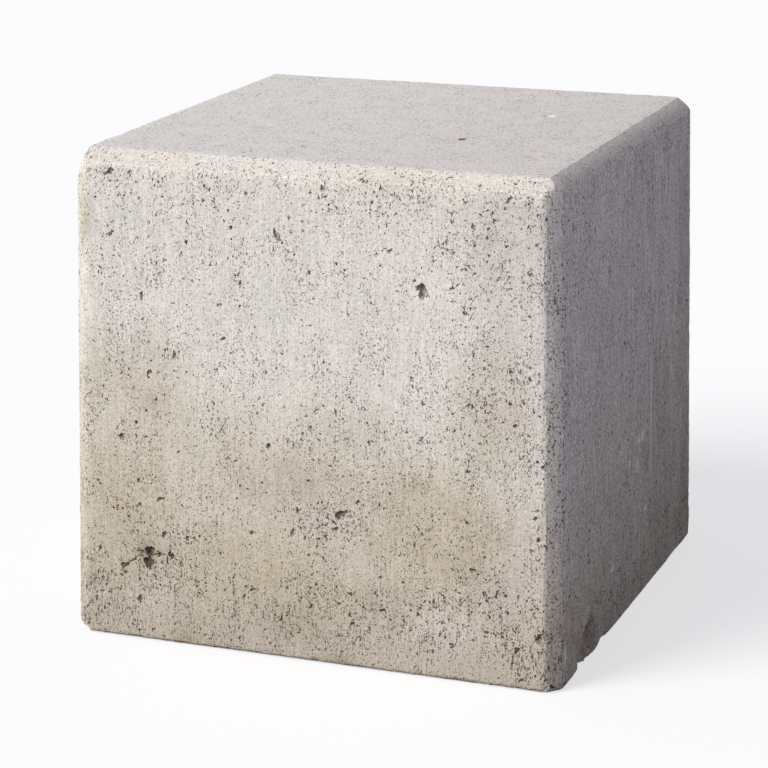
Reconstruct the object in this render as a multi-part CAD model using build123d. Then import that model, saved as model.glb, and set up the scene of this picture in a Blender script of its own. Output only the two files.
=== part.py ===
from build123d import *
import os
from math import atan2, degrees

# A solid cube of pressed concrete, 350 mm high and 350 mm across the top. It is one cast piece.
# The mould was drawn off upwards, so the sides lean in a little from the base to the top.
# It leaves a bevel down each upright corner, and the press head leaves a bevel round the top.
# The head's bevels are mitred square, so each upright bevel runs up into a mitre and ends in a point
# a little below the top face.
# The base stood on a board. Its arris is worn all round, and pieces have spalled off it in places.
# The frame: X runs across the front from left to right, Y from front to back, Z up.
# The origin is at the middle of the base. Lengths are in millimetres.

# Size of the mould
top_width = 350.0
top_depth = 350.0
block_height = 350.0
draft = 7.0

# Bevels
head_bevel = 9.5
corner_bevel = 10.5
worn_arris = 0.8

# Spalls on the base arris of the right side: how far back from the front, how far they reach each way
# along the arris, and how deep they bite in from it
notch_place = 52.5
notch_reach = 9.0
notch_bite = 6.5
notch_lip_place = 44.0
notch_lip_reach = 13.0
notch_lip_bite = 2.0
notch_tail_place = 65.0
notch_tail_reach = 21.0
notch_tail_bite = 3.0
second_notch_place = 106.0
second_notch_reach = 18.0
second_notch_bite = 4.4
second_tail_place = 122.0
second_tail_reach = 18.0
second_tail_bite = 1.6
middle_wear_place = 165.0
middle_wear_reach = 45.0
middle_wear_bite = 0.9
rear_wear_place = 300.0
rear_wear_reach = 36.0
rear_wear_bite = 1.6

# The one long spall on the base arris of the front: its place is how far it is from the left
front_spall_place = 292.0
front_spall_reach = 24.0
front_spall_bite = 1.4

# Knocks at corners of the base and of the head
base_corner_reach = 13.0
base_corner_bite = 3.5
rear_corner_reach = 17.0
rear_corner_bite = 5.5
head_corner_drop = 8.0
head_corner_setback = 7.0
head_corner_reach = 16.0
head_corner_bite = 10.0
head_rear_reach = 9.0
head_rear_bite = 1.5

# A shallow flake off the left edge of the top face, and how far back from the front it is
top_flake_place = 58.0
top_flake_reach = 8.0
top_flake_bite = 1.5

# Where the faces are. The sides stand out by the draft at the base.
top_right = top_width / 2
top_rear = top_depth / 2
base_right = top_right + draft
base_rear = top_rear + draft
# The middle of an upright bevel stands this far in from each of the two sides that it joins.
bevel_middle = corner_bevel / 2


def cast_form():
    """The block as it left the mould. The sharp-cornered block is bevelled twice, once round its top
    and once down its upright corners, and the two are crossed, so that the top's mitres stay whole."""
    lean = degrees(atan2(draft, block_height))
    sharp = extrude(Rectangle(2 * base_right, 2 * base_rear), block_height, taper=lean)
    upright_edges, top_edges = sharp.edges().group_by(Axis.Z)[1:]
    headed = chamfer(top_edges, head_bevel)
    cornered = chamfer(upright_edges, corner_bevel)
    form = headed & cornered
    return chamfer(form.edges().group_by(Axis.Z)[0], worn_arris)


def spall(struck, outward, reach, bite):
    """The shell-shaped piece that breaks away at a struck point: a ball that sinks a bite below the
    point, from the outward side, and is a reach wide each way where it meets the surface there."""
    radius = (reach**2 + bite**2) / (2 * bite)
    return Pos(*(struck + outward.normalized() * (radius - bite))) * Sphere(radius)


def base_arris_spalls():
    """What has broken off the base arris, mostly on the right, where it was dragged and set down."""
    right_side = [
        (notch_place, notch_reach, notch_bite),
        (notch_lip_place, notch_lip_reach, notch_lip_bite),
        (notch_tail_place, notch_tail_reach, notch_tail_bite),
        (second_notch_place, second_notch_reach, second_notch_bite),
        (second_tail_place, second_tail_reach, second_tail_bite),
        (middle_wear_place, middle_wear_reach, middle_wear_bite),
        (rear_wear_place, rear_wear_reach, rear_wear_bite),
    ]
    spalls = []
    for place, reach, bite in right_side:
        struck = Vector(base_right, place - base_rear, 0)
        spalls.append(spall(struck, Vector(1, 0, -1), reach, bite))
    struck = Vector(front_spall_place - base_right, -base_rear, 0)
    spalls.append(spall(struck, Vector(0, -1, -1), front_spall_reach, front_spall_bite))
    return spalls


def corner_spalls():
    """The knocks at the corners: two on the base and two on the head."""
    front_left_foot = Vector(bevel_middle - base_right, bevel_middle - base_rear, 0)
    rear_right_foot = Vector(base_right - bevel_middle, base_rear - bevel_middle, 0)
    front_left_head = Vector(-top_right, head_corner_setback - top_rear, block_height - head_corner_drop)
    rear_right_head = Vector(top_right - head_bevel, top_rear - head_bevel, block_height)
    return [
        spall(front_left_foot, Vector(-1, -1, -1), base_corner_reach, base_corner_bite),
        spall(rear_right_foot, Vector(1, 1, -1), rear_corner_reach, rear_corner_bite),
        spall(front_left_head, Vector(-2, -1, 1), head_corner_reach, head_corner_bite),
        spall(rear_right_head, Vector(1, 1, 1), head_rear_reach, head_rear_bite),
    ]


def top_flake():
    """The flake off the left edge of the top face."""
    struck = Vector(head_bevel - top_right, top_flake_place - top_rear, block_height)
    return spall(struck, Vector(-1, 0, 2), top_flake_reach, top_flake_bite)


block = cast_form()
for broken in [*base_arris_spalls(), *corner_spalls(), top_flake()]:
    block -= broken
block.label = "block"

os.makedirs("parts", exist_ok=True)
export_step(block, "parts/block.step")
print("block volume in litres:", round(block.volume / 1e6, 3))
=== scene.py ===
import math
import random
from types import SimpleNamespace

import bpy
import numpy as np
from mathutils import Matrix, Vector
from mathutils.bvhtree import BVHTree


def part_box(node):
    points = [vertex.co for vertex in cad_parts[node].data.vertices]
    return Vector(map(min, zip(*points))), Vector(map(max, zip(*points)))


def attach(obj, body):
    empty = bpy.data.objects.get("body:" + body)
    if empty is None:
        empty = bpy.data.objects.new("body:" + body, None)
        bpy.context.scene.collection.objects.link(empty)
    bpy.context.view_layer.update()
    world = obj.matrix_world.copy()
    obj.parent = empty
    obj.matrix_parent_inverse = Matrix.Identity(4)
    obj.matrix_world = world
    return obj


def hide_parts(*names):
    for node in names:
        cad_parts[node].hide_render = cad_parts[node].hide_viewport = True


# A solid cube of pressed concrete, with bevelled edges, blowholes, drag streaks and damp stains.
# Lengths are in metres. X runs across the front, Y to the back, Z up from the base.

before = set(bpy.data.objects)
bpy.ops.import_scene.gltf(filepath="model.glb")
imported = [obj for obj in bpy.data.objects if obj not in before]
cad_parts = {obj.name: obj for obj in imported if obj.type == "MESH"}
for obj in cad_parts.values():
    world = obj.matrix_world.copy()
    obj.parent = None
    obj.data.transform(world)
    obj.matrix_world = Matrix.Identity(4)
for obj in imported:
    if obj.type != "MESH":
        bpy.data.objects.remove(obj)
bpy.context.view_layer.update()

MM = 0.001
UP = Vector((0, 0, 1))
DOWN = Vector((0, 0, -1))

# The cast form: its height, half the width of its top, how far its sides stand out at the base, and its
# bevels round the head and down the corners
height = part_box("block")[1].z
half_top = 175 * MM
draft = 7 * MM
half_base = half_top + draft
head_bevel = 9.5 * MM
corner_bevel = 10.5 * MM

# The sides, as quarter turns from the front
FRONT, RIGHT, REAR, LEFT = range(4)
SIDES = (FRONT, RIGHT, REAR, LEFT)

# The picture: its width in pixels, and the camera that sees the block as it shows it
picture_width = 768
camera_place = Vector((0.653975, -1.77814, 0.686245))
camera_yaw = math.radians(20.519)
camera_tilt = math.radians(90 - 15.736)
camera_roll = math.radians(-0.185)
camera_lens = 124.737
sensor_width = 36.0
nearest_seen = 10 * MM


def add_object(name, data):
    """A new object in the scene, made of this data."""
    piece = bpy.data.objects.new(name, data)
    bpy.context.scene.collection.objects.link(piece)
    return piece


def only(*pieces):
    """Selects these pieces and nothing else. The first is the active one."""
    bpy.ops.object.select_all(action="DESELECT")
    for piece in pieces:
        piece.select_set(True)
    bpy.context.view_layer.objects.active = pieces[0]


def apply_modifier(piece, kind, **settings):
    only(piece)
    modifier = piece.modifiers.new(kind.lower(), kind)
    for name, value in settings.items():
        setattr(modifier, name, value)
    bpy.ops.object.modifier_apply(modifier=modifier.name)


def camera_turn():
    """How the camera stands: turned to the left, tilted down, and rolled very slightly."""
    yaw = Matrix.Rotation(camera_yaw, 3, "Z")
    tilt = Matrix.Rotation(camera_tilt, 3, "X")
    roll = Matrix.Rotation(camera_roll, 3, "Z")
    return yaw @ tilt @ roll


def set_camera():
    lens = bpy.data.cameras.new("picture_camera")
    lens.lens = camera_lens
    lens.sensor_width = sensor_width
    lens.clip_start = nearest_seen
    camera = add_object("picture_camera", lens)
    camera.matrix_world = Matrix.Translation(camera_place) @ camera_turn().to_4x4()
    bpy.context.scene.camera = camera


def quarter_turn(side):
    """Turns the front round to a side."""
    return Matrix.Rotation(side * math.pi / 2, 3, "Z")


def side_reach(up):
    """How far out a side stands at this height."""
    return half_top + draft * (1 - up / height)


def side_plane(side):
    """A point on a side, at its foot, and the way out of it."""
    foot = quarter_turn(side) @ Vector((0, -half_base, 0))
    outward = quarter_turn(side) @ Vector((0, -height, draft)).normalized()
    return foot, outward


def seen_on(foot, outward, column, row):
    """The point of a flat face that the picture shows at this column and row."""
    focal = camera_lens / sensor_width * picture_width
    middle = picture_width / 2
    ray = camera_turn() @ Vector(((column - middle) / focal, (middle - row) / focal, -1))
    reach = (foot - camera_place).dot(outward) / ray.dot(outward)
    return camera_place + ray * reach


# The cast block

def face_distances(points):
    """How far inside each flat face of the block the points are: for each side its own row, then its
    upright bevel and its head bevel, and last the top and the base."""
    slant = math.hypot(draft, height) / height
    diagonal = math.sqrt(2)
    across, back, up = points.T
    side = side_reach(up)
    rows = []
    for turn in SIDES:
        out = quarter_turn(turn) @ Vector((0, -1, 0))
        along = quarter_turn(turn) @ Vector((1, 0, 0))
        outward = across * out.x + back * out.y
        sideways = across * along.x + back * along.y
        rows.append((side - outward) / slant)
        rows.append((2 * side - corner_bevel - outward - sideways) / diagonal)
        rows.append((half_top + height - head_bevel - outward - up) / diagonal)
    rows.append(height - up)
    rows.append(up)
    return np.array(rows)


def face_slopes():
    """The way out of each of those faces, in the same order."""
    rows = []
    for turn in SIDES:
        quarter = quarter_turn(turn)
        rows.append(quarter @ Vector((0, -height, draft)).normalized())
        rows.append(quarter @ Vector((1, -1, 2 * draft / height)).normalized())
        rows.append(quarter @ Vector((0, -1, 1)).normalized())
    rows.append(UP)
    rows.append(DOWN)
    return np.array([list(row) for row in rows])


def weigh(piece, name, weights):
    """A vertex group with these weights, in steps of a tenth."""
    group = piece.vertex_groups.new(name=name)
    tenths = np.rint(np.clip(weights, 0, 1) * 10).astype(int)
    for tenth in range(1, 11):
        members = np.flatnonzero(tenths == tenth).tolist()
        if members:
            group.add(members, tenth / 10, "REPLACE")


def points_of(piece):
    """The places of the mesh's points, one row each."""
    places = np.empty(len(piece.data.vertices) * 3)
    piece.data.vertices.foreach_get("co", places)
    return places.reshape(-1, 3)


# Points this close are merged. Then the block is meshed all over, this finely.
same_point = 0.01 * MM
voxel = 1.4 * MM


def cast_copy(broken, draw):
    """A merged copy of the cast form, with its scars, closely meshed all over."""
    piece = add_object("concrete_block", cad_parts["block"].data.copy())
    piece.data.materials.clear()
    only(piece)
    bpy.ops.object.mode_set(mode="EDIT")
    bpy.ops.mesh.select_all(action="SELECT")
    bpy.ops.mesh.remove_doubles(threshold=same_point)
    bpy.ops.object.mode_set(mode="OBJECT")
    cut(piece, broken, draw)
    size = voxel
    apply_modifier(piece, "REMESH", mode="VOXEL", voxel_size=size)
    return piece


def cloudy(name, size, layers, hard):
    """A pattern of lumps this large, each layer finer than the last. A hard one has creases."""
    texture = bpy.data.textures.new(name, "CLOUDS")
    texture.noise_scale = size
    texture.noise_depth = layers
    texture.noise_type = "HARD_NOISE" if hard else "SOFT_NOISE"
    return texture


# How far up from the base the sand is coarser, how far up the foot's arris is ragged, and how wide a ragged
# arris is. A surface is a broken one from this far below the cast faces, and wholly so a little deeper.
coarse_sand_height = 120 * MM
ragged_foot_height = 9 * MM
ragged_arris_width = 2.6 * MM
broken_from = 0.8 * MM
broken_over = 1.2 * MM

# The relief: size of its lumps, layers, whether it is hard, and its depth
reliefs = [
    ("waves", 22 * MM, 2, False, 0.45 * MM),
    ("sand", 3.2 * MM, 2, False, 0.5 * MM),
    ("arris", 6 * MM, 2, True, 3.4 * MM),
    ("broken", 6 * MM, 3, True, 2.2 * MM),
]


def roughen(piece):
    """The relief that the mould and the dry mix leave: slow waves all over, sand on the sides, coarser
    towards the base, ragged arrises and rough broken faces."""
    places = points_of(piece)
    to_face, to_arris = np.sort(np.abs(face_distances(places)), axis=0)[:2]
    up = places[:, 2]
    on_top = np.clip((up - (height - head_bevel)) / (2 * MM), 0, 1)
    low_down = 1 - np.clip(up / coarse_sand_height, 0, 1)
    at_foot = np.clip(1 - up / ragged_foot_height, 0, 1)
    at_arris = np.clip(1 - to_arris / ragged_arris_width, 0, 1)
    weigh(piece, "waves", np.ones(len(places)))
    weigh(piece, "sand", (0.55 + 0.45 * low_down) * (1 - 0.8 * on_top))
    weigh(piece, "arris", at_arris * (0.2 + 0.8 * at_foot))
    weigh(piece, "broken", (to_face - broken_from) / broken_over)
    for group, size, layers, hard, depth in reliefs:
        texture = cloudy(group, size, layers, hard)
        apply_modifier(
            piece, "DISPLACE", texture=texture, vertex_group=group, strength=depth, mid_level=1,
        )


def hold_inside(piece):
    """Puts back any point that the relief has pushed out of the cast form. Next to an arris the second
    round mends what the first one shifts."""
    places = points_of(piece)
    for _ in range(2):
        for face, slope in enumerate(face_slopes()):
            outside = np.minimum(face_distances(places)[face], 0)
            places += np.outer(outside, slope)
    piece.data.vertices.foreach_set("co", places.ravel())
    piece.data.update()


# The block's triangles before its hollows are cut, which about double them
block_triangles = 82_000


def lighten(piece):
    """Fewer faces where the surface is even. Each face of the fine mesh is two triangles."""
    triangles = 2 * len(piece.data.polygons)
    if triangles > 2 * block_triangles:
        apply_modifier(piece, "DECIMATE", ratio=block_triangles / triangles)


# Hollows: blowholes, gaps between stones and nicks, cut out of the surface

hollow_shapes = 6
unevenness = 0.46
# A hollow smaller than this is cut with a lump of few faces
small_hollow = 2.2 * MM
# How far a hollow keeps clear of others in its round: a share of its size, and a little more
clear_share = 0.68
clear_gap = 0.15 * MM
# How far from its middle a hollow's rim gets its lobes, as a share of its size
lobe_place = 0.42


def hollow_forms():
    """Uneven lumps, one unit in radius, that hollows are cut with. The small ones have fewer faces."""
    forms = {}
    for fineness in (1, 2):
        for shape in range(hollow_shapes):
            bpy.ops.mesh.primitive_ico_sphere_add(subdivisions=fineness, radius=1)
            form = bpy.context.object
            bpy.ops.object.mode_set(mode="EDIT")
            bpy.ops.mesh.select_all(action="SELECT")
            bpy.ops.transform.vertex_random(offset=unevenness / fineness, uniform=1, seed=shape + 1)
            bpy.ops.object.mode_set(mode="OBJECT")
            forms[fineness, shape] = form
    return forms


def facing(outward):
    """Turns a lump's X to run level across a face, its Y up the face and its Z out of it."""
    level = UP.cross(outward)
    if level.length < 0.5:
        level = Vector((1, 0, 0))
    level.normalize()
    upward = outward.cross(level)
    return Matrix((level, upward, outward)).transposed().to_4x4()


def side_place(side, across, up):
    """The place on a side this far from its middle line and up from the base, and the way out of it."""
    outward = side_plane(side)[1]
    return quarter_turn(side) @ Vector((across, -side_reach(up), up)), outward


class Hollows:
    """The hollows so far, in rounds of cutting, each with its place, way out, sizes across and up,
    depth and lean."""

    def __init__(self):
        self.rounds = []

    def add(self, place, outward, across, up, depth, lean=0.0):
        """Puts a hollow in the first round in which it is clear of all others."""
        reach = max(across, up) * clear_share + clear_gap
        hollow = (place, outward, across, up, depth, lean)
        for members in self.rounds:
            if all((place - other[0]).length > reach + other[1] for other in members):
                members.append((place, reach, hollow))
                return
        self.rounds.append([(place, reach, hollow)])


def ragged_hollow(hollows, draw, place, outward, across, up, depth, lean=0.0, lobes=1):
    """A hollow with smaller ones run into its rim."""
    hollows.add(place, outward, across, up, depth, lean)
    turn = facing(outward).to_3x3() @ Matrix.Rotation(lean, 3, "Z")
    for _ in range(lobes):
        way = draw.uniform(0, 2 * math.pi)
        rim = Vector((math.cos(way) * across, math.sin(way) * up, 0)) * lobe_place
        share = draw.uniform(0.45, 0.7)
        turned = lean + draw.uniform(-0.9, 0.9)
        hollows.add(place + turn @ rim, outward, across * share, up * share, depth * 0.8, turned)


def cut(piece, hollows, draw):
    """Cuts every hollow out of the block, one round after the other."""
    forms = hollow_forms()
    for members in hollows.rounds:
        lumps = []
        for _, _, (place, outward, across, up, depth, lean) in members:
            fineness = 1 if max(across, up) < small_hollow else 2
            form = forms[fineness, draw.randrange(hollow_shapes)]
            lump = add_object("hollow", form.data.copy())
            size = Matrix.Diagonal((across / 2, up / 2, depth, 1))
            turn = Matrix.Rotation(lean, 4, "Z")
            lump.data.transform(Matrix.Translation(place) @ facing(outward) @ turn @ size)
            lumps.append(lump)
        only(*lumps)
        if len(lumps) > 1:
            bpy.ops.object.join()
        cutter = bpy.context.object
        apply_modifier(piece, "BOOLEAN", object=cutter, operation="DIFFERENCE", solver="MANIFOLD")
        bpy.data.objects.remove(cutter)
    for form in forms.values():
        bpy.data.objects.remove(form)


# The front's hollows that can be told apart: column and row in the picture, width and height in
# millimetres, and lean in degrees, anticlockwise
front_hollows = [
    (423, 291, 4.6, 8.0, 8), (150, 553, 5.5, 6.0, 0), (149, 563, 5.0, 8.0, 0),
    (161, 555, 7.0, 2.2, 0), (172, 556, 4.4, 3.2, -15), (125, 565, 5.0, 3.0, 35),
    (132, 561, 4.5, 1.6, 25), (142, 552, 5.0, 2.0, -20), (139, 549, 3.0, 1.6, 0),
    (276, 236, 2.4, 6.5, 20), (282, 243, 2.2, 2.0, 40), (303, 231, 1.6, 2.4, 0),
    (447, 243, 1.4, 5.5, 5), (446, 250, 6.0, 1.8, -10), (452, 254, 3.5, 1.6, -25),
    (390, 251, 3.6, 2.0, 40), (380, 266, 2.2, 2.2, 0), (432, 207, 1.6, 3.0, -25),
    (487, 238, 2.0, 3.0, -20), (507, 247, 2.6, 2.0, 40), (473, 227, 1.8, 4.6, 15),
    (489, 256, 1.8, 2.0, 0), (475, 274, 2.2, 1.8, 0), (509, 200, 2.0, 3.8, -35),
    (537, 246, 2.4, 3.0, 0), (337, 209, 2.0, 2.6, 0), (310, 193, 2.0, 2.2, 0),
    (380, 189, 1.6, 3.2, 0), (323, 274, 1.8, 2.0, 0),
    (414, 271, 1.6, 1.6, 0), (463, 171, 2.4, 2.0, 0), (174, 356, 1.8, 5.5, -20),
    (165, 350, 2.0, 2.6, 0), (151, 361, 2.2, 2.0, 0), (158, 373, 2.0, 1.6, 0),
    (220, 363, 2.6, 1.6, 0), (270, 319, 2.0, 1.8, 0), (266, 373, 1.8, 2.4, 0),
    (310, 326, 2.0, 1.6, 0), (156, 400, 2.6, 3.0, 0), (146, 411, 2.4, 2.4, 0),
    (146, 437, 2.4, 1.8, 0), (161, 499, 4.2, 2.2, 20), (158, 501, 2.0, 3.0, 30),
    (197, 583, 2.0, 3.8, 30), (140, 599, 2.6, 4.4, -10), (102, 591, 3.0, 2.0, 0),
    (236, 461, 2.6, 2.2, 0), (237, 499, 2.4, 2.6, -30), (247, 489, 2.0, 2.0, 0),
    (262, 483, 2.2, 1.8, 0), (292, 533, 2.0, 5.2, -15), (305, 539, 2.8, 1.8, 0),
    (317, 546, 2.2, 1.8, 0), (252, 590, 3.6, 2.0, 25), (246, 587, 2.0, 3.0, 0),
    (308, 481, 2.4, 2.2, 0), (316, 585, 2.4, 2.8, 0), (281, 620, 2.2, 2.8, 0),
    (299, 633, 2.8, 2.2, 0), (98, 480, 2.2, 2.2, 0), (118, 506, 3.0, 1.8, 0),
    (100, 548, 1.8, 3.2, 0), (284, 407, 2.0, 1.8, 0), (339, 515, 6.0, 4.0, 15),
    (345, 513, 4.0, 2.0, 30), (325, 509, 2.6, 2.0, 0), (384, 509, 2.4, 2.0, 0),
    (537, 512, 6.0, 1.4, 0), (410, 566, 2.6, 2.0, 0), (403, 583, 2.2, 2.4, 0),
    (473, 571, 3.4, 2.6, 0), (478, 575, 2.0, 2.0, 0), (484, 595, 1.6, 4.0, 10),
    (490, 599, 5.0, 1.6, 0), (497, 594, 1.6, 3.4, -10), (504, 593, 2.0, 1.8, 0),
    (382, 611, 3.6, 2.4, 10), (403, 617, 2.2, 2.0, 0), (517, 651, 2.8, 3.2, 0),
    (512, 664, 2.6, 2.0, 0), (521, 681, 3.2, 2.0, 0), (539, 639, 3.2, 5.5, 0),
    (539, 561, 2.0, 2.8, 0), (426, 641, 2.2, 2.0, 0), (451, 648, 2.4, 2.0, 0),
    (342, 652, 2.8, 2.0, 0), (109, 172, 4.6, 3.0, 15), (105, 174, 2.4, 2.0, 0),
    (130, 172, 4.2, 1.8, 10), (95, 197, 2.6, 2.2, 0), (124, 196, 2.4, 2.0, 0),
    (139, 198, 2.2, 2.0, 0), (162, 197, 2.0, 2.2, 0), (203, 201, 2.2, 2.6, 20),
    (173, 206, 2.2, 1.6, 0), (193, 204, 1.8, 2.4, 0), (110, 234, 1.8, 3.8, -35),
    (123, 276, 2.0, 2.0, 0), (192, 281, 2.0, 2.4, 25), (240, 284, 1.8, 3.2, 15),
    (246, 194, 3.0, 2.0, 0), (219, 305, 3.6, 1.6, 20), (322, 188, 1.8, 3.4, 15),
    (110, 181, 2.6, 1.8, 0), (117, 181, 2.2, 2.0, 0), (431, 206, 1.6, 3.0, 30), (528, 198, 2.2, 1.8, 0),
    (117, 187, 2.2, 1.8, 0), (158, 182, 1.6, 3.0, 0), (505, 209, 1.8, 3.0, 0), (465, 203, 2.4, 1.6, 0),
]
# The same on the head's bevel over the front
bevel_hollows = [
    (116, 157, 2.6, 3.0, -20), (106, 152, 2.4, 2.0, 0), (109, 148, 2.6, 1.4, 0), (152, 159, 1.8, 2.0, 30),
    (197, 158, 2.6, 1.8, 0), (201, 157, 2.0, 1.8, 0), (339, 174, 1.8, 1.6, 0), (360, 174, 2.2, 1.8, 0),
    (465, 173, 2.2, 2.2, 0), (460, 170, 3.0, 1.2, 0), (526, 178, 2.6, 1.4, 0), (530, 178, 1.8, 1.8, 0),
    (91, 157, 1.8, 2.4, 0), (94, 163, 2.6, 2.2, 0), (254, 163, 2.0, 1.4, 0), (424, 180, 2.4, 1.4, 0),
]
# The same on the right side, and on the top with depth from front to back in place of height
right_hollows = [
    (581, 163, 5.0, 2.2, 30), (571, 173, 3.6, 1.8, 0), (594, 172, 3.6, 1.6, 0),
    (584, 197, 4.0, 1.8, 0), (584, 213, 4.0, 1.6, 0), (619, 194, 4.0, 2.0, 0),
    (579, 251, 3.6, 1.6, 0), (578, 257, 3.0, 1.6, 0), (676, 279, 8.0, 2.6, 0),
    (667, 159, 4.4, 1.6, 0),
]
top_hollows = [
    (237, 120, 3.0, 4.0, 0), (244, 118, 4.0, 3.0, 0), (253, 115, 3.6, 3.4, 0),
    (261, 136, 3.2, 3.2, 0), (287, 140, 2.4, 3.6, 0), (286, 93, 2.2, 4.0, 0),
    (379, 122, 2.2, 3.0, 0), (384, 119, 2.0, 2.6, 0), (501, 96, 1.8, 2.6, 0),
    (150, 136, 4.0, 2.0, 0), (157, 134, 3.0, 1.6, 0), (296, 121, 1.6, 2.6, 0),
]
# What broke off the foot of the right side: a deep chip at the arris, and the scar above it. Column and
# row, and in millimetres the size along and up, and the depth
foot_chip = (583, 663, 24, 17, 12)
foot_scar = (589, 641, 24, 30, 2.6)

# Depths of the single hollows on the bevel, the right side and the top. Those on the front are deeper the
# larger they are, and one larger than this many millimetres is widened and gets more lobes.
bevel_hollow_depth = 1.1 * MM
right_hollow_depth = 1.5 * MM
top_hollow_depth = 0.7 * MM
large_hollow = 3


def scars(draw):
    """The broken places larger than pores, cut before the surface gets its relief, which then covers
    them."""
    broken = Hollows()
    foot, outward = side_plane(RIGHT)
    for column, row, along, up, depth in (foot_chip, foot_scar):
        place = seen_on(foot, outward, column, row)
        ragged_hollow(broken, draw, place, outward, along * MM, up * MM, depth * MM, lobes=2)
    return broken


def placed_hollows(hollows, draw):
    """The hollows that show singly, on the faces that the picture shows."""
    foot, outward = side_plane(FRONT)
    for column, row, across, up, lean in front_hollows:
        growth, lobes = (1.3, 3) if max(across, up) > large_hollow else (1.05, 1)
        wide = across * MM * growth
        tall = up * MM * growth
        depth = 0.6 * min(wide, tall) + 0.5 * MM
        place = seen_on(foot, outward, column, row)
        ragged_hollow(hollows, draw, place, outward, wide, tall, depth, math.radians(lean), lobes)
    foot = Vector((0, -half_top, height - head_bevel))
    outward = Vector((0, -1, 1)).normalized()
    for column, row, across, up, lean in bevel_hollows:
        place = seen_on(foot, outward, column, row)
        hollows.add(place, outward, across * MM, up * MM, bevel_hollow_depth, math.radians(lean))
    foot, outward = side_plane(RIGHT)
    for column, row, across, up, lean in right_hollows:
        place = seen_on(foot, outward, column, row)
        turn = math.radians(lean)
        ragged_hollow(hollows, draw, place, outward, across * MM, up * MM, right_hollow_depth, turn)
    for column, row, across, back, lean in top_hollows:
        place = seen_on(UP * height, UP, column, row)
        hollows.add(place, UP, across * MM, back * MM, top_hollow_depth, math.radians(lean))


# How many pores are scattered over each face
side_pores = 210
front_pores = 150
top_pores = 150
base_pores = 150
# In millimetres, the least width of a pore, and how much wider the rare largest ones are
side_pore_widths = (1.1, 2.4)
top_pore_widths = (0.9, 1.4)
base_pore_widths = (1.6, 5)
# Below 1, this crowds the pores of the sides towards the base
crowding_power = 0.62
# A side pore wider than this gets a lobe
lobed_pore = 1.6 * MM


def pore_width(draw, least, spread):
    """A width in millimetres, mostly near the least."""
    return least + spread * draw.random() ** 3


def scattered_pores(hollows, draw):
    """The many pores in between, closer and larger towards the base."""
    for side in SIDES:
        for _ in range(front_pores if side == FRONT else side_pores):
            up = height * (1 - draw.random() ** crowding_power) * 0.97 + 4 * MM
            across = draw.uniform(-half_top, half_top) * 0.965
            place, outward = side_place(side, across, up)
            wide = (pore_width(draw, *side_pore_widths) + 0.5 * (1 - up / height)) * MM
            tall = wide * draw.uniform(0.5, 1.8)
            depth = wide * draw.uniform(0.5, 0.9)
            lobes = 1 if wide > lobed_pore else 0
            ragged_hollow(hollows, draw, place, outward, wide, tall, depth, draw.uniform(0, 3), lobes)
    spread = half_top - head_bevel
    for _ in range(top_pores):
        place = Vector((draw.uniform(-spread, spread), draw.uniform(-spread, spread), height))
        width = pore_width(draw, *top_pore_widths) * MM
        hollows.add(place, UP, width, width * draw.uniform(0.7, 1.4), 0.5 * MM)
    for _ in range(base_pores):
        place = Vector((draw.uniform(-half_top, half_top), draw.uniform(-half_top, half_top), 0))
        width = pore_width(draw, *base_pore_widths) * MM
        hollows.add(place, DOWN, width, width * draw.uniform(0.6, 1.4), width * 0.4)


# How many nicks each side gets on its upper and upright arrises, and along its foot
arris_nicks = 46
foot_nicks = 76
# The way out of an arris where a side or the top meets a bevel: mostly the way out of the flat face
mostly = 0.92
partly = 0.38


def arris_place(edge, along):
    """A place on one of the front's four arrises, from -1 at one end to 1 at the other, and the way out
    there. They run above and below the head's bevel, and on each side of the right corner's."""
    if edge == 0:
        inner = half_top - head_bevel
        return Vector((along * inner, -inner, height)), Vector((0, -partly, mostly))
    if edge == 1:
        place = Vector((along * (half_top - corner_bevel), -half_top, height - head_bevel))
        return place, Vector((0, -mostly, partly))
    up = height * (0.5 + 0.47 * along)
    out = side_reach(up)
    if edge == 2:
        return Vector((out - corner_bevel, -out, up)), Vector((partly, -mostly, 0))
    return Vector((out, corner_bevel - out, up)), Vector((mostly, -partly, 0))


def nicks(hollows, draw):
    """Small chips off the arrises: round the head, down the corners and, most of all, round the base."""
    for side in SIDES:
        quarter = quarter_turn(side)
        for _ in range(foot_nicks):
            place = quarter @ Vector((draw.uniform(-half_top, half_top), -half_base, 0))
            outward = (quarter @ Vector((0, -1, -0.6))).normalized()
            wide = (2 + 7 * draw.random() ** 2) * MM
            deep = 0.8 * MM + wide * draw.uniform(0.12, 0.3)
            hollows.add(place, outward, wide, wide * draw.uniform(0.5, 1), deep)
        for _ in range(arris_nicks):
            place, outward = arris_place(draw.randrange(4), draw.uniform(-1, 1))
            wide = (0.9 + 2.4 * draw.random() ** 2) * MM
            tall = wide * draw.uniform(0.6, 1.2)
            hollows.add(quarter @ place, quarter @ outward, wide, tall, wide * 0.35)


def surface_tree(piece):
    """The surface as it is now, to measure from."""
    corners = [vertex.co.copy() for vertex in piece.data.vertices]
    return BVHTree.FromPolygons(corners, [tuple(face.vertices) for face in piece.data.polygons])


def mark(piece, name, values):
    """Writes a number on each point of the mesh, for the finish to read."""
    attribute = piece.data.attributes.new(name, "FLOAT", "POINT")
    attribute.data.foreach_set("value", values)


def mark_depth(piece, surface):
    """How deep each point lies under the surface that the hollows were cut in, for the shade painted in
    them.
    """
    mark(piece, "depth", [surface.find_nearest(vertex.co)[3] for vertex in piece.data.vertices])


# Finish: the nodes of the concrete

def add_node(tree, kind, inputs=None, **settings):
    node = tree.nodes.new(kind)
    for name, value in settings.items():
        setattr(node, name, value)
    for name, value in (inputs or {}).items():
        feed(tree, node.inputs[name], value)
    return node


def feed(tree, socket, value):
    """Gives a socket another node's output, or a plain value."""
    if isinstance(value, bpy.types.NodeSocket):
        tree.links.new(value, socket)
    else:
        socket.default_value = value


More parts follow.
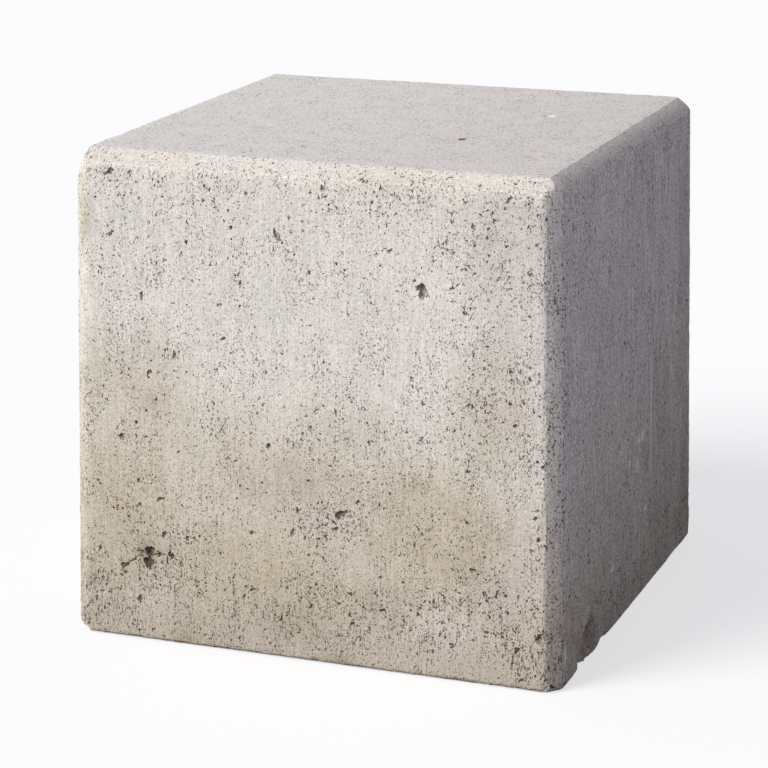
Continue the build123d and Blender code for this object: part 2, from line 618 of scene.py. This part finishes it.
def reckon(tree, operation, *values, clamp=False):
    node = add_node(tree, "ShaderNodeMath", operation=operation, use_clamp=clamp)
    for socket, value in zip(node.inputs, values):
        feed(tree, socket, value)
    return node.outputs[0]


def times(tree, value, factor, clamp=False):
    return reckon(tree, "MULTIPLY", value, factor, clamp=clamp)


def plus(tree, value, more):
    return reckon(tree, "ADD", value, more)


def ramp(tree, value, low, high, to_low=0.0, to_high=1.0, smooth=True):
    """Goes from one value to another while this one goes from low to high, and no further."""
    node = add_node(tree, "ShaderNodeMapRange", clamp=True)
    node.interpolation_type = "SMOOTHSTEP" if smooth else "LINEAR"
    for socket, number in zip(node.inputs[:5], (value, low, high, to_low, to_high)):
        feed(tree, socket, number)
    return node.outputs[0]


def blend(tree, amount, under, over, way="MIX"):
    """One colour over another. A Mix node's colours are its inputs 6 and 7 and its output 2."""
    node = add_node(tree, "ShaderNodeMix", data_type="RGBA", blend_type=way)
    feed(tree, node.inputs[0], amount)
    feed(tree, node.inputs[6], under)
    feed(tree, node.inputs[7], over)
    return node.outputs[2]


def stretched(tree, coords, scale, moved=(0, 0, 0)):
    node = add_node(tree, "ShaderNodeMapping", {"Vector": coords, "Scale": scale, "Location": moved})
    return node.outputs[0]


def grain_of(tree, coords, scale, detail=2.0, roughness=0.5, warp=0.0):
    """Uneven noise from 0 to 1, about a half, with this many lumps to the metre."""
    node = add_node(tree, "ShaderNodeTexNoise", {
        "Vector": coords, "Scale": scale, "Detail": detail, "Roughness": roughness, "Distortion": warp,
    })
    return node.outputs["Fac"]


def marked(tree, name):
    """The number that is written on the points of the mesh under this name."""
    return add_node(tree, "ShaderNodeAttribute", attribute_name=name).outputs["Fac"]


def shade(red, green, blue):
    """A colour as a paint chart gives it, from 0 to 255, in the light's own units."""
    parts = []
    for part in (red, green, blue):
        level = part / 255
        parts.append(level / 12.92 if level <= 0.04045 else ((level + 0.055) / 1.055) ** 2.4)
    return (*parts, 1.0)


# Crowding at which flecks are closest, and how sharply a fleck ends
closest_crowding = 1.6
fleck_edge = 0.014


def flecks(tree, noise, share_low, share_high, crowding):
    """Irregular specks where the noise dips lowest. Crowding moves between the two levels below which a
    dip counts."""
    level = ramp(tree, crowding, 0, closest_crowding, share_low, share_high, smooth=False)
    below = reckon(tree, "SUBTRACT", level, noise)
    return ramp(tree, below, 0, fleck_edge, smooth=False)


# A stain is whole as far as its core, and fades out at its rim, both as shares of its reach. A spot on
# the top is sharper. Where a stain is ragged, noise moves its rim by up to half of this.
stain_core = 0.24
spot_core = 0.72
stain_rim = 1.1
raggedness = 1.2
# How far a stain reaches through the surface it is on, in millimetres
stain_thickness = 14
spot_thickness = 5


def patch(tree, coords, place, reach, core=stain_core, uneven=None):
    """A soft-edged patch about a place, this far each way. Gives 1 in its middle and 0 outside."""
    scale = tuple(1 / size for size in reach)
    moved = tuple(-middle / size for middle, size in zip(place, reach))
    near = stretched(tree, coords, scale, moved)
    away = add_node(tree, "ShaderNodeVectorMath", {0: near}, operation="LENGTH").outputs["Value"]
    if uneven is not None:
        away = plus(tree, away, times(tree, reckon(tree, "SUBTRACT", uneven, 0.5), raggedness))
    return ramp(tree, away, core, stain_rim, 1, 0)


# Stains on the front: column and row in the picture, reach across and up in millimetres, and strength
ochre_stains = [
    (430, 530, 70, 62, 0.6), (125, 500, 60, 90, 0.55), (100, 390, 34, 60, 0.35),
    (250, 565, 100, 48, 0.5), (320, 605, 60, 30, 0.35), (190, 625, 80, 26, 0.25),
    (260, 460, 150, 60, 0.3), (150, 400, 46, 60, 0.35), (480, 430, 40, 60, 0.25),
    (400, 185, 60, 12, 0.2), (83, 212, 8, 28, 0.6),
]
brown_stains = [
    (150, 552, 16, 13, 0.45), (292, 625, 30, 20, 0.35), (340, 660, 20, 6, 0.6),
    (390, 600, 36, 18, 0.25), (300, 480, 30, 18, 0.15), (470, 572, 30, 14, 0.25),
    (155, 402, 14, 14, 0.15), (95, 580, 14, 8, 0.3), (185, 637, 16, 5, 0.5),
]
grey_veils = [
    (512, 250, 44, 90, 0.4), (505, 400, 36, 90, 0.5), (505, 570, 44, 70, 0.6),
    (330, 500, 120, 44, 0.35), (380, 440, 60, 30, 0.3), (140, 380, 30, 60, 0.2),
    (300, 640, 190, 18, 0.25), (500, 650, 50, 40, 0.3),
]
pale_blooms = [
    (420, 390, 28, 62, 0.5), (330, 300, 22, 36, 0.35), (215, 215, 36, 42, 0.35),
    (262, 395, 38, 42, 0.4), (112, 245, 24, 22, 0.35), (440, 630, 36, 22, 0.5),
    (205, 330, 22, 52, 0.25), (150, 600, 24, 20, 0.2),
]
rusty_bits = [
    (92, 560, 3, 2, 0.7), (179, 642, 7, 1.6, 0.8), (219, 648, 9, 1.6, 0.8), (314, 659, 5, 1.6, 0.8),
    (89, 169, 3, 1.6, 0.8), (94, 157, 2.4, 1.6, 0.7), (89, 158, 2, 2, 0.7), (88, 171, 2, 1.6, 0.7),
]
# Where the front is more open, with more flecks
open_places = [
    (512, 260, 50, 90, 0.12), (505, 400, 46, 90, 0.35), (450, 240, 50, 30, 0.1), (150, 560, 60, 44, 0.45),
    (300, 600, 150, 30, 0.12), (330, 520, 60, 24, 0.3), (105, 600, 30, 40, 0.3), (470, 590, 60, 36, 0.3),
    (330, 190, 160, 14, 0.15), (520, 660, 30, 24, 0.15),
]
# On the right side: painted brown shadows, and pale strips of painted light
brown_shadows = [
    (591, 636, 17, 20, 0.9), (686, 470, 26, 90, 0.4), (684, 290, 26, 150, 0.25),
    (660, 420, 60, 110, 0.2),
]
# Pale strips of painted light on the shaded right side
painted_light_strips = [
    (600, 215, 130, 70, 0.4), (573, 330, 28, 190, 0.5), (570, 500, 26, 70, 0.35), (625, 565, 60, 20, 0.25),
]
# Drips and spots of lime there
white_drips = [
    (651.5, 408, 2.6, 66, 0.75), (646, 230, 2.4, 40, 0.4), (643, 435, 4.5, 5, 1), (640, 440, 4, 3, 1),
    (638, 465, 2.6, 8, 0.8), (630, 464, 2.4, 4, 0.8), (646, 508, 4, 2.6, 0.9), (613.6, 568, 3.2, 3, 1),
    (612, 570, 4, 1.6, 1), (671, 180, 2.4, 22, 0.5), (602, 205, 2.4, 5, 0.5), (566, 657, 3, 9, 0.7),
]

# The broad stains, and the painted shadows and light of the right side, are written on the points, because
# so many would be too much for the finish's nodes
broad_stains_and_painted_light = [
    ("grey_veil", FRONT, grey_veils),
    ("ochre_stain", FRONT, ochre_stains),
    ("brown_stain", FRONT, brown_stains),
    ("pale_bloom", FRONT, pale_blooms),
    ("brown_shadow", RIGHT, brown_shadows),
    ("painted_light_strip", RIGHT, painted_light_strips),
    ("open_place", FRONT, open_places),
]

# On the top, a brown fleck and a pale chip: column and row, and reach across and back
top_fleck = (462, 139, 3.0, 4.6)
top_chip = (552, 116, 3.0, 4.0)


def stain_reach(side, across, up):
    """How far a stain on a side reaches along X, Y and Z."""
    reach = (across, stain_thickness, up) if side == FRONT else (stain_thickness, across, up)
    return [size * MM for size in reach]


def mark_stains_and_painted_light(piece):
    """Writes the strength of each kind of broad stain, painted shadow and painted light on the points, the
    strongest where they overlap.
    """
    places = points_of(piece)
    for name, side, stains in broad_stains_and_painted_light:
        foot, outward = side_plane(side)
        strengths = np.zeros(len(places))
        for column, row, across, up, strength in stains:
            middle = np.array(seen_on(foot, outward, column, row))
            away = np.linalg.norm((places - middle) / np.array(stain_reach(side, across, up)), axis=1)
            share = np.clip((stain_rim - away) / (stain_rim - stain_core), 0, 1)
            strengths = np.maximum(strengths, strength * share * share * (3 - 2 * share))
        mark(piece, name, strengths)


def side_patches(tree, coords, side, patches, uneven):
    """All of one kind of small mark on a side, the strongest where they overlap."""
    foot, outward = side_plane(side)
    total = None
    for column, row, across, up, strength in patches:
        place = seen_on(foot, outward, column, row)
        spot = patch(tree, coords, place, stain_reach(side, across, up), uneven=uneven)
        spot = times(tree, spot, strength)
        total = spot if total is None else reckon(tree, "MAXIMUM", total, spot)
    return total


def top_spot(tree, coords, spot):
    """A small mark on the top."""
    column, row, across, back = spot
    place = seen_on(UP * height, UP, column, row)
    reach = (across * MM, back * MM, spot_thickness * MM)
    return patch(tree, coords, place, reach, core=spot_core)


# Colours of the cement, of what lies on it, and of the light and shade painted on it
pale_cement = shade(232, 228, 217)
cool_cement = shade(227, 225, 214)
pink_cement = shade(234, 226, 218)
# Tan low down, partly stain and partly painted shade
low_tan_and_painted_shade = shade(203, 192, 171)
top_at_left = shade(211, 209, 203)
top_at_right = shade(202, 199, 193)
# Dust and painted shade for the foot
foot_dust_and_painted_shade = shade(176, 166, 150)
# Painted shade for the head's bevel
head_bevel_painted_shade = shade(196, 190, 180)
worn_corner = shade(246, 240, 232)
rust = shade(176, 120, 78)
# Painted shade for the tiny pits of the specks and gaps
speck_painted_shade = shade(78, 70, 60)
gap_painted_shade = shade(58, 50, 41)
lime = shade(250, 250, 250)
fleck_brown = shade(118, 80, 56)
chip_white = shade(240, 238, 234)
# Painted shade for the hollows
hollow_painted_shade = shade(92, 82, 70)
stain_and_painted_light_shades = {
    "grey_veil": shade(203, 194, 183),
    "ochre_stain": shade(194, 182, 152),
    "brown_stain": shade(160, 144, 119),
    "pale_bloom": shade(230, 225, 216),
    # On the right side: a painted brown shadow and a pale strip of painted light
    "brown_shadow": shade(150, 136, 122),
    "painted_light_strip": shade(250, 244, 236),
}


def whereabouts(tree, coords):
    """Where a point of the block is: on the top, on the head with its bevel, low down, at the foot, on an
    upright bevel, on the right side, and on the line where that side is rubbed along its bevel. Each goes
    from 0 to 1. Across is in metres."""
    at = SimpleNamespace()
    at.across, back, up = add_node(tree, "ShaderNodeSeparateXYZ", {0: coords}).outputs
    at.top = ramp(tree, up, height - 1.7 * MM, height - 1.0 * MM)
    at.head = ramp(tree, up, height - head_bevel - 1 * MM, height - head_bevel + 1 * MM)
    at.low = ramp(tree, up, 0.0, 230 * MM, 1, 0)
    at.foot = ramp(tree, up, 10 * MM, 90 * MM, 1, 0)

    # How far out a point is across the corner, and to the right, as if the sides were upright
    sideways = plus(tree, reckon(tree, "ABSOLUTE", at.across), reckon(tree, "ABSOLUTE", back))
    sideways = plus(tree, sideways, times(tree, up, 2 * draft / height))
    corner = 2 * half_base - corner_bevel
    at.corner = ramp(tree, sideways, corner - 3.5 * MM, corner - 1.5 * MM)
    rightward = plus(tree, at.across, times(tree, up, draft / height))
    at.right = ramp(tree, rightward, half_base - 2.4 * MM, half_base - 1.2 * MM)
    at.worn_line = times(tree, at.right, ramp(tree, sideways, corner - 4.5 * MM, corner - 3 * MM))
    return at


def cement(tree, at, slow, cloud):
    """The colour of the cement, slowly changing, and tan low down, partly stain and partly painted shade of
    the light falling off towards the base.
    """
    colour = blend(tree, ramp(tree, slow, 0.4, 0.65), pale_cement, cool_cement)
    colour = blend(tree, ramp(tree, cloud, 0.45, 0.7, 0, 0.55), colour, pink_cement)
    # Tan low down: partly stain, partly painted shade of the light falling off towards the base
    return blend(tree, times(tree, at.low, 0.8), colour, low_tan_and_painted_shade)


def stained_and_painted_light(tree, colour, uneven):
    """The broad stains, with the painted brown shadows and pale painted light of the right side, blotchy in
    themselves.
    """
    blotchy = ramp(tree, uneven, 0.3, 0.7, 0.6, 1.4, smooth=False)
    for name, stain in stain_and_painted_light_shades.items():
        strength = times(tree, marked(tree, name), blotchy, clamp=True)
        colour = blend(tree, strength, colour, stain)
    return colour


def wear_and_painted_shade(tree, colour, at, cloud):
    """The top, the foot darkened with dust and painted shade, the head's bevel darkened with painted shade,
    and the rubbed line along the right corner.
    """
    top_tone = blend(tree, ramp(tree, at.across, -0.1, 0.18), top_at_left, top_at_right)
    colour = blend(tree, times(tree, at.top, 0.9), colour, top_tone)
    # Darker at the foot: partly dust, partly painted shade of the dimmer light at the base
    colour = blend(tree, times(tree, at.foot, 0.3), colour, foot_dust_and_painted_shade)
    # The head's bevel, which faces the lamp most, is darkened with painted shade
    bevel = times(tree, reckon(tree, "SUBTRACT", at.head, at.top), 0.5)
    colour = blend(tree, bevel, colour, head_bevel_painted_shade)
    line = times(tree, at.worn_line, ramp(tree, cloud, 0.4, 0.6, 0.0, 0.35))
    return blend(tree, line, colour, worn_corner)


def crowded(tree, at, cloud):
    """How close the flecks are: in drifts, and closer at the foot, on the corners and in open places."""
    crowding = plus(tree, ramp(tree, cloud, 0.36, 0.62, 0.1, 0.75), times(tree, at.foot, 0.36))
    crowding = plus(tree, crowding, times(tree, at.corner, 0.25))
    crowding = plus(tree, crowding, marked(tree, "open_place"))
    crowding = times(tree, crowding, ramp(tree, at.top, 0, 1, 1, 0.95))
    return plus(tree, crowding, times(tree, at.right, 0.15))


def grained(tree, colour, at, fine, coarse, streaks):
    """Lighter and darker sand, in drag streaks on the sides, strongest on the right and weak on the top."""
    sand = ramp(tree, fine, 0.3, 0.7, 0.78, 1.18, smooth=False)
    sand = times(tree, sand, ramp(tree, coarse, 0.35, 0.65, 0.93, 1.06))
    sand = times(tree, sand, ramp(tree, streaks, 0.3, 0.7, 0.93, 1.05))
    sand = reckon(tree, "POWER", sand, ramp(tree, at.right, 0, 1, 1, 2.2))
    sand = blend(tree, times(tree, at.top, 0.2), sand, (1, 1, 1, 1))
    return blend(tree, 1.0, colour, sand, way="MULTIPLY")


def surface_relief(tree, at, fine, coarse, streaks, specks, gaps):
    """The relief too fine for the mesh, half as deep on the head."""
    relief = times(tree, fine, 0.10 * MM)
    parts = [
        ("ADD", coarse, 0.30), ("ADD", streaks, 0.08), ("SUBTRACT", specks, 0.16), ("SUBTRACT", gaps, 0.45),
    ]
    for operation, part, depth in parts:
        relief = reckon(tree, operation, relief, times(tree, part, depth * MM))
    relief = times(tree, relief, ramp(tree, at.head, 0, 1, 1, 0.5))
    bump = add_node(tree, "ShaderNodeBump", {"Strength": 1.0, "Distance": 1.0, "Height": relief})
    return bump.outputs[0]


def concrete_finish():
    """Dry pressed concrete: cement, stains, wear and painted light and shade, then sand and flecks darkened
    with painted shade, marks, painted shade in the hollows and relief.
    """
    finish = bpy.data.materials.new("dry_pressed_concrete")
    finish.use_nodes = True
    tree = finish.node_tree
    tree.nodes.clear()
    coords = add_node(tree, "ShaderNodeTexCoord").outputs["Object"]
    at = whereabouts(tree, coords)

    uneven = grain_of(tree, coords, 60, 4, 0.62)
    slow = grain_of(tree, coords, 16, 2, 0.55)
    cloud = grain_of(tree, stretched(tree, coords, (1, 1, 0.6)), 52, 3, 0.62, 0.3)
    colour = cement(tree, at, slow, cloud)
    colour = stained_and_painted_light(tree, colour, uneven)
    colour = wear_and_painted_shade(tree, colour, at, cloud)
    colour = blend(tree, side_patches(tree, coords, FRONT, rusty_bits, uneven), colour, rust)

    fine = grain_of(tree, coords, 1700, 1, 0.5)
    coarse = grain_of(tree, coords, 420, 2, 0.6)
    streaks = grain_of(tree, stretched(tree, coords, (1, 1, 0.05)), 640, 1, 0.5)
    speck_noise = grain_of(tree, stretched(tree, coords, (1, 1, 0.7)), 860, 2, 0.6)
    gap_noise = grain_of(tree, stretched(tree, coords, (1, 1, 0.75)), 430, 3, 0.7)
    crowding = crowded(tree, at, cloud)
    specks = flecks(tree, speck_noise, 0.338, 0.462, crowding)
    gaps = flecks(tree, gap_noise, 0.328, 0.436, crowding)
    colour = grained(tree, colour, at, fine, coarse, streaks)
    # The specks and gaps are tiny pits: besides their dip in the relief, their dark colour is painted shade
    colour = blend(tree, times(tree, specks, 0.68), colour, speck_painted_shade)
    colour = blend(tree, times(tree, gaps, 0.95), colour, gap_painted_shade)

    colour = blend(tree, side_patches(tree, coords, RIGHT, white_drips, fine), colour, lime)
    colour = blend(tree, top_spot(tree, coords, top_fleck), colour, fleck_brown)
    colour = blend(tree, top_spot(tree, coords, top_chip), colour, chip_white)
    # Painted shade in the hollows, stronger the deeper a point lies under the surface they were cut in
    hollow_shade = ramp(tree, marked(tree, "depth"), 0.15 * MM, 1.6 * MM, 0, 0.78)
    hollow_shade = times(tree, hollow_shade, ramp(tree, coarse, 0.35, 0.6, 1, 0.6))
    colour = blend(tree, hollow_shade, colour, hollow_painted_shade)

    bump = surface_relief(tree, at, fine, coarse, streaks, specks, gaps)
    roughness = ramp(tree, coarse, 0.3, 0.7, 0.84, 0.96)
    shader = add_node(tree, "ShaderNodeBsdfPrincipled", {
        "Base Color": colour, "Roughness": roughness, "Normal": bump,
    })
    shader.inputs["Specular IOR Level"].default_value = 0.35
    output = add_node(tree, "ShaderNodeOutputMaterial")
    tree.links.new(shader.outputs[0], output.inputs[0])
    return finish


# One number settles every random draw, and faces that meet at less than this angle look like one
draw_seed = 7
smooth_angle = math.radians(20)


def concrete_block():
    """The block itself, one cast piece."""
    draw = random.Random(draw_seed)
    piece = cast_copy(scars(draw), draw)
    roughen(piece)
    hold_inside(piece)
    lighten(piece)
    hollows = Hollows()
    placed_hollows(hollows, draw)
    nicks(hollows, draw)
    scattered_pores(hollows, draw)
    surface = surface_tree(piece)
    cut(piece, hollows, draw)
    mark_depth(piece, surface)
    mark_stains_and_painted_light(piece)
    piece.vertex_groups.clear()
    only(piece)
    bpy.ops.object.shade_smooth_by_angle(angle=smooth_angle)
    piece.data.materials.clear()
    piece.data.materials.append(concrete_finish())
    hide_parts("block")
    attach(piece, "root")


# Studio

lamp_strength = 3.5
lamp_spread = math.radians(34)
lamp_colour = (1.0, 0.975, 0.94)
towards_lamp = Vector((-0.43, -0.485, 0.51))
sky = (0.33, 0.32, 0.40, 1)
white = (1, 1, 1, 1)
# The floor's radius, its colours to the camera and to the block, and how much it glows to the camera
floor_radius = 30
floor_seen = (0.9, 0.9, 0.9, 1)
floor_unseen = (0.20, 0.20, 0.22, 1)
floor_glow = 0.65


def seen_straight(tree):
    """One where the camera looks, also in a glossy or a clear surface, and nought for plain light."""
    path = add_node(tree, "ShaderNodeLightPath").outputs
    clear = reckon(tree, "MAXIMUM", path["Is Glossy Ray"], path["Is Transmission Ray"])
    return reckon(tree, "MAXIMUM", path["Is Camera Ray"], clear)


def finish_mix(tree, amount, under, over, output_kind):
    """Ends a finish in a mix of two shaders."""
    mixed = add_node(tree, "ShaderNodeMixShader")
    feed(tree, mixed.inputs[0], amount)
    tree.links.new(under.outputs[0], mixed.inputs[1])
    tree.links.new(over.outputs[0], mixed.inputs[2])
    output = add_node(tree, output_kind)
    tree.links.new(mixed.outputs[0], output.inputs[0])


def pale_floor():
    """The floor: white to the camera but for the block's soft shadow, and greyer to the block."""
    bpy.ops.mesh.primitive_circle_add(vertices=96, radius=floor_radius, fill_type="NGON")
    floor = bpy.context.object
    floor.name = "studio_floor"
    finish = bpy.data.materials.new("studio_white")
    finish.use_nodes = True
    tree = finish.node_tree
    tree.nodes.clear()
    seen = add_node(tree, "ShaderNodeLightPath").outputs["Is Camera Ray"]
    tone = blend(tree, seen, floor_unseen, floor_seen)
    paint = add_node(tree, "ShaderNodeBsdfDiffuse", {"Color": tone})
    glow = add_node(tree, "ShaderNodeEmission", {"Strength": 1.0})
    finish_mix(tree, times(tree, seen, floor_glow), paint, glow, "ShaderNodeOutputMaterial")
    floor.data.materials.append(finish)


def studio_light():
    """One broad lamp from the front left, above, and a weak cool light from all round."""
    sun = bpy.data.lights.new("broad_lamp", "SUN")
    sun.energy = lamp_strength
    sun.angle = lamp_spread
    sun.color = lamp_colour
    lamp = add_object("broad_lamp", sun)
    lamp.rotation_euler = towards_lamp.to_track_quat("Z", "Y").to_euler()
    world = bpy.data.worlds.new("studio")
    bpy.context.scene.world = world
    world.use_nodes = True
    tree = world.node_tree
    tree.nodes.clear()
    seen = seen_straight(tree)
    soft = add_node(tree, "ShaderNodeBackground", {"Color": sky, "Strength": 1.0})
    backdrop = add_node(tree, "ShaderNodeBackground", {"Color": white, "Strength": 1.0})
    finish_mix(tree, seen, soft, backdrop, "ShaderNodeOutputWorld")


set_camera()
studio_light()
pale_floor()
concrete_block()

bpy.context.scene.view_settings.view_transform = "Standard"
